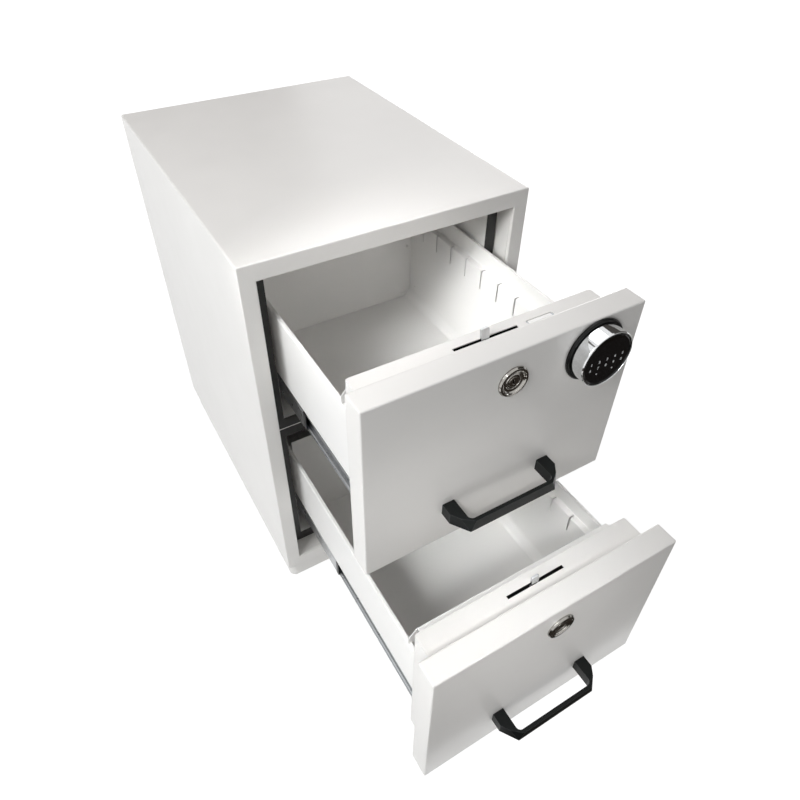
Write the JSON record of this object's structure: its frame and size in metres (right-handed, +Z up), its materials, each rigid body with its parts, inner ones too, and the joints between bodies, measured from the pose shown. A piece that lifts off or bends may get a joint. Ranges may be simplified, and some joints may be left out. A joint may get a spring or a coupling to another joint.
{
  "type": "fire-resistant data cabinet",
  "caption": "Free-standing white fire-resistant filing cabinet for data and papers, with thick insulated drawer heads on telescopic slides, key latches and a round keypad lock.",
  "frame": {"origin": "centre of the plinth's underside, on the floor", "axes": "+X to the right seen from the front, +Y from the front to the back, +Z up; the drawers pull out along -Y"},
  "size_m": [0.53, 1.228, 0.805],
  "materials": {
    "white_steel": "satin",
    "liner_steel": "satin",
    "insulation": "matte",
    "seal_rubber": "matte",
    "zinc_steel": "satin",
    "slide_steel": "satin",
    "black_plastic": "matte",
    "handle_black": "satin",
    "dark_steel": "satin",
    "chrome": "polished",
    "latch_steel": "satin",
    "keypad_black": "gloss",
    "circuit_board": "satin",
    "battery_case": "satin",
    "lock_bolt_white": "satin"
  },
  "bodies": {
    "root": {"outer_shell": "white_steel", "back_panel": "white_steel", "front_jamb": "white_steel", "insulation_jacket": "insulation", "divider_core": "insulation", "upper_bay_liner": "liner_steel", "lower_bay_liner": "liner_steel", "upper_bay_seal": "seal_rubber", "lower_bay_seal": "seal_rubber", "plinth": "white_steel", "upper_keeper": "zinc_steel", "lower_keeper": "zinc_steel", "upper_slide_rails": "zinc_steel", "lower_slide_rails": "zinc_steel", "upper_outer_slides": "zinc_steel", "lower_outer_slides": "zinc_steel"},
    "upper_middle": {"upper_middle_slides": "slide_steel", "upper_slide_buffers": "black_plastic"},
    "lower_middle": {"lower_middle_slides": "slide_steel", "lower_slide_buffers": "black_plastic"},
    "upper_drawer": {"upper_inner_slides": "slide_steel", "upper_front_shell": "white_steel", "upper_inner_block": "white_steel", "upper_front_core": "insulation", "upper_lock_box": "dark_steel", "upper_tray": "liner_steel", "upper_tray_back": "liner_steel", "upper_tray_front": "liner_steel", "upper_handle": "handle_black", "upper_handle_bolts": "zinc_steel", "upper_key_bezel": "chrome", "upper_lock_barrel": "chrome", "keypad_gasket": "seal_rubber", "electronic_lock_case": "zinc_steel"},
    "lower_drawer": {"lower_inner_slides": "slide_steel", "lower_front_shell": "white_steel", "lower_inner_block": "white_steel", "lower_front_core": "insulation", "lower_lock_box": "dark_steel", "lower_tray": "liner_steel", "lower_tray_back": "liner_steel", "lower_tray_front": "liner_steel", "lower_handle": "handle_black", "lower_handle_bolts": "zinc_steel", "lower_key_bezel": "chrome", "lower_lock_barrel": "chrome"},
    "upper_latch": {"upper_key_plug": "zinc_steel", "upper_lock_spindle": "zinc_steel", "upper_latch_arm": "latch_steel"},
    "lower_latch": {"lower_key_plug": "zinc_steel", "lower_lock_spindle": "zinc_steel", "lower_latch_arm": "latch_steel"},
    "keypad_knob": {"keypad_housing": "chrome", "keypad_face": "keypad_black", "keypad_board": "circuit_board", "keypad_battery": "battery_case", "keypad_spindle": "zinc_steel"},
    "electronic_bolt": {"electronic_lock_bolt": "lock_bolt_white"}
  },
  "joints": [
    {"name": "upper_drawer_slide", "type": "slide", "parent": "root", "child": "upper_drawer", "axis": [0, -1, 0], "range_m": [-0.313, 0.19]},
    {"name": "lower_drawer_slide", "type": "slide", "parent": "root", "child": "lower_drawer", "axis": [0, -1, 0], "range_m": [-0.503, 0]},
    {"name": "upper_middle_slide", "type": "slide", "parent": "root", "child": "upper_middle", "axis": [0, -1, 0], "range_m": [-0.14085, 0.0855]},
    {"name": "lower_middle_slide", "type": "slide", "parent": "root", "child": "lower_middle", "axis": [0, -1, 0], "range_m": [-0.22635, 0]},
    {"name": "upper_key_turn", "type": "hinge", "parent": "upper_drawer", "child": "upper_latch", "pos_m": [0, -0.6505, 0.718], "axis": [0, 1, 0], "range_deg": [-45, 55]},
    {"name": "lower_key_turn", "type": "hinge", "parent": "lower_drawer", "child": "lower_latch", "pos_m": [0, -0.8405, 0.365], "axis": [0, 1, 0], "range_deg": [-45, 55]},
    {"name": "keypad_turn", "type": "hinge", "parent": "upper_drawer", "child": "keypad_knob", "pos_m": [0.146, -0.6505, 0.716], "axis": [0, 1, 0], "range_deg": [0, 90]},
    {"name": "electronic_bolt_lift", "type": "slide", "parent": "upper_drawer", "child": "electronic_bolt", "axis": [0, 0, 1], "range_m": [0, 0.008]}
  ],
  "couplings": [
    {"joint": "upper_middle_slide", "follows": "upper_drawer_slide", "ratio": 0.45},
    {"joint": "lower_middle_slide", "follows": "lower_drawer_slide", "ratio": 0.45},
    {"joint": "electronic_bolt_lift", "follows": "keypad_turn", "m_per_rad": 0.00509}
  ]
}
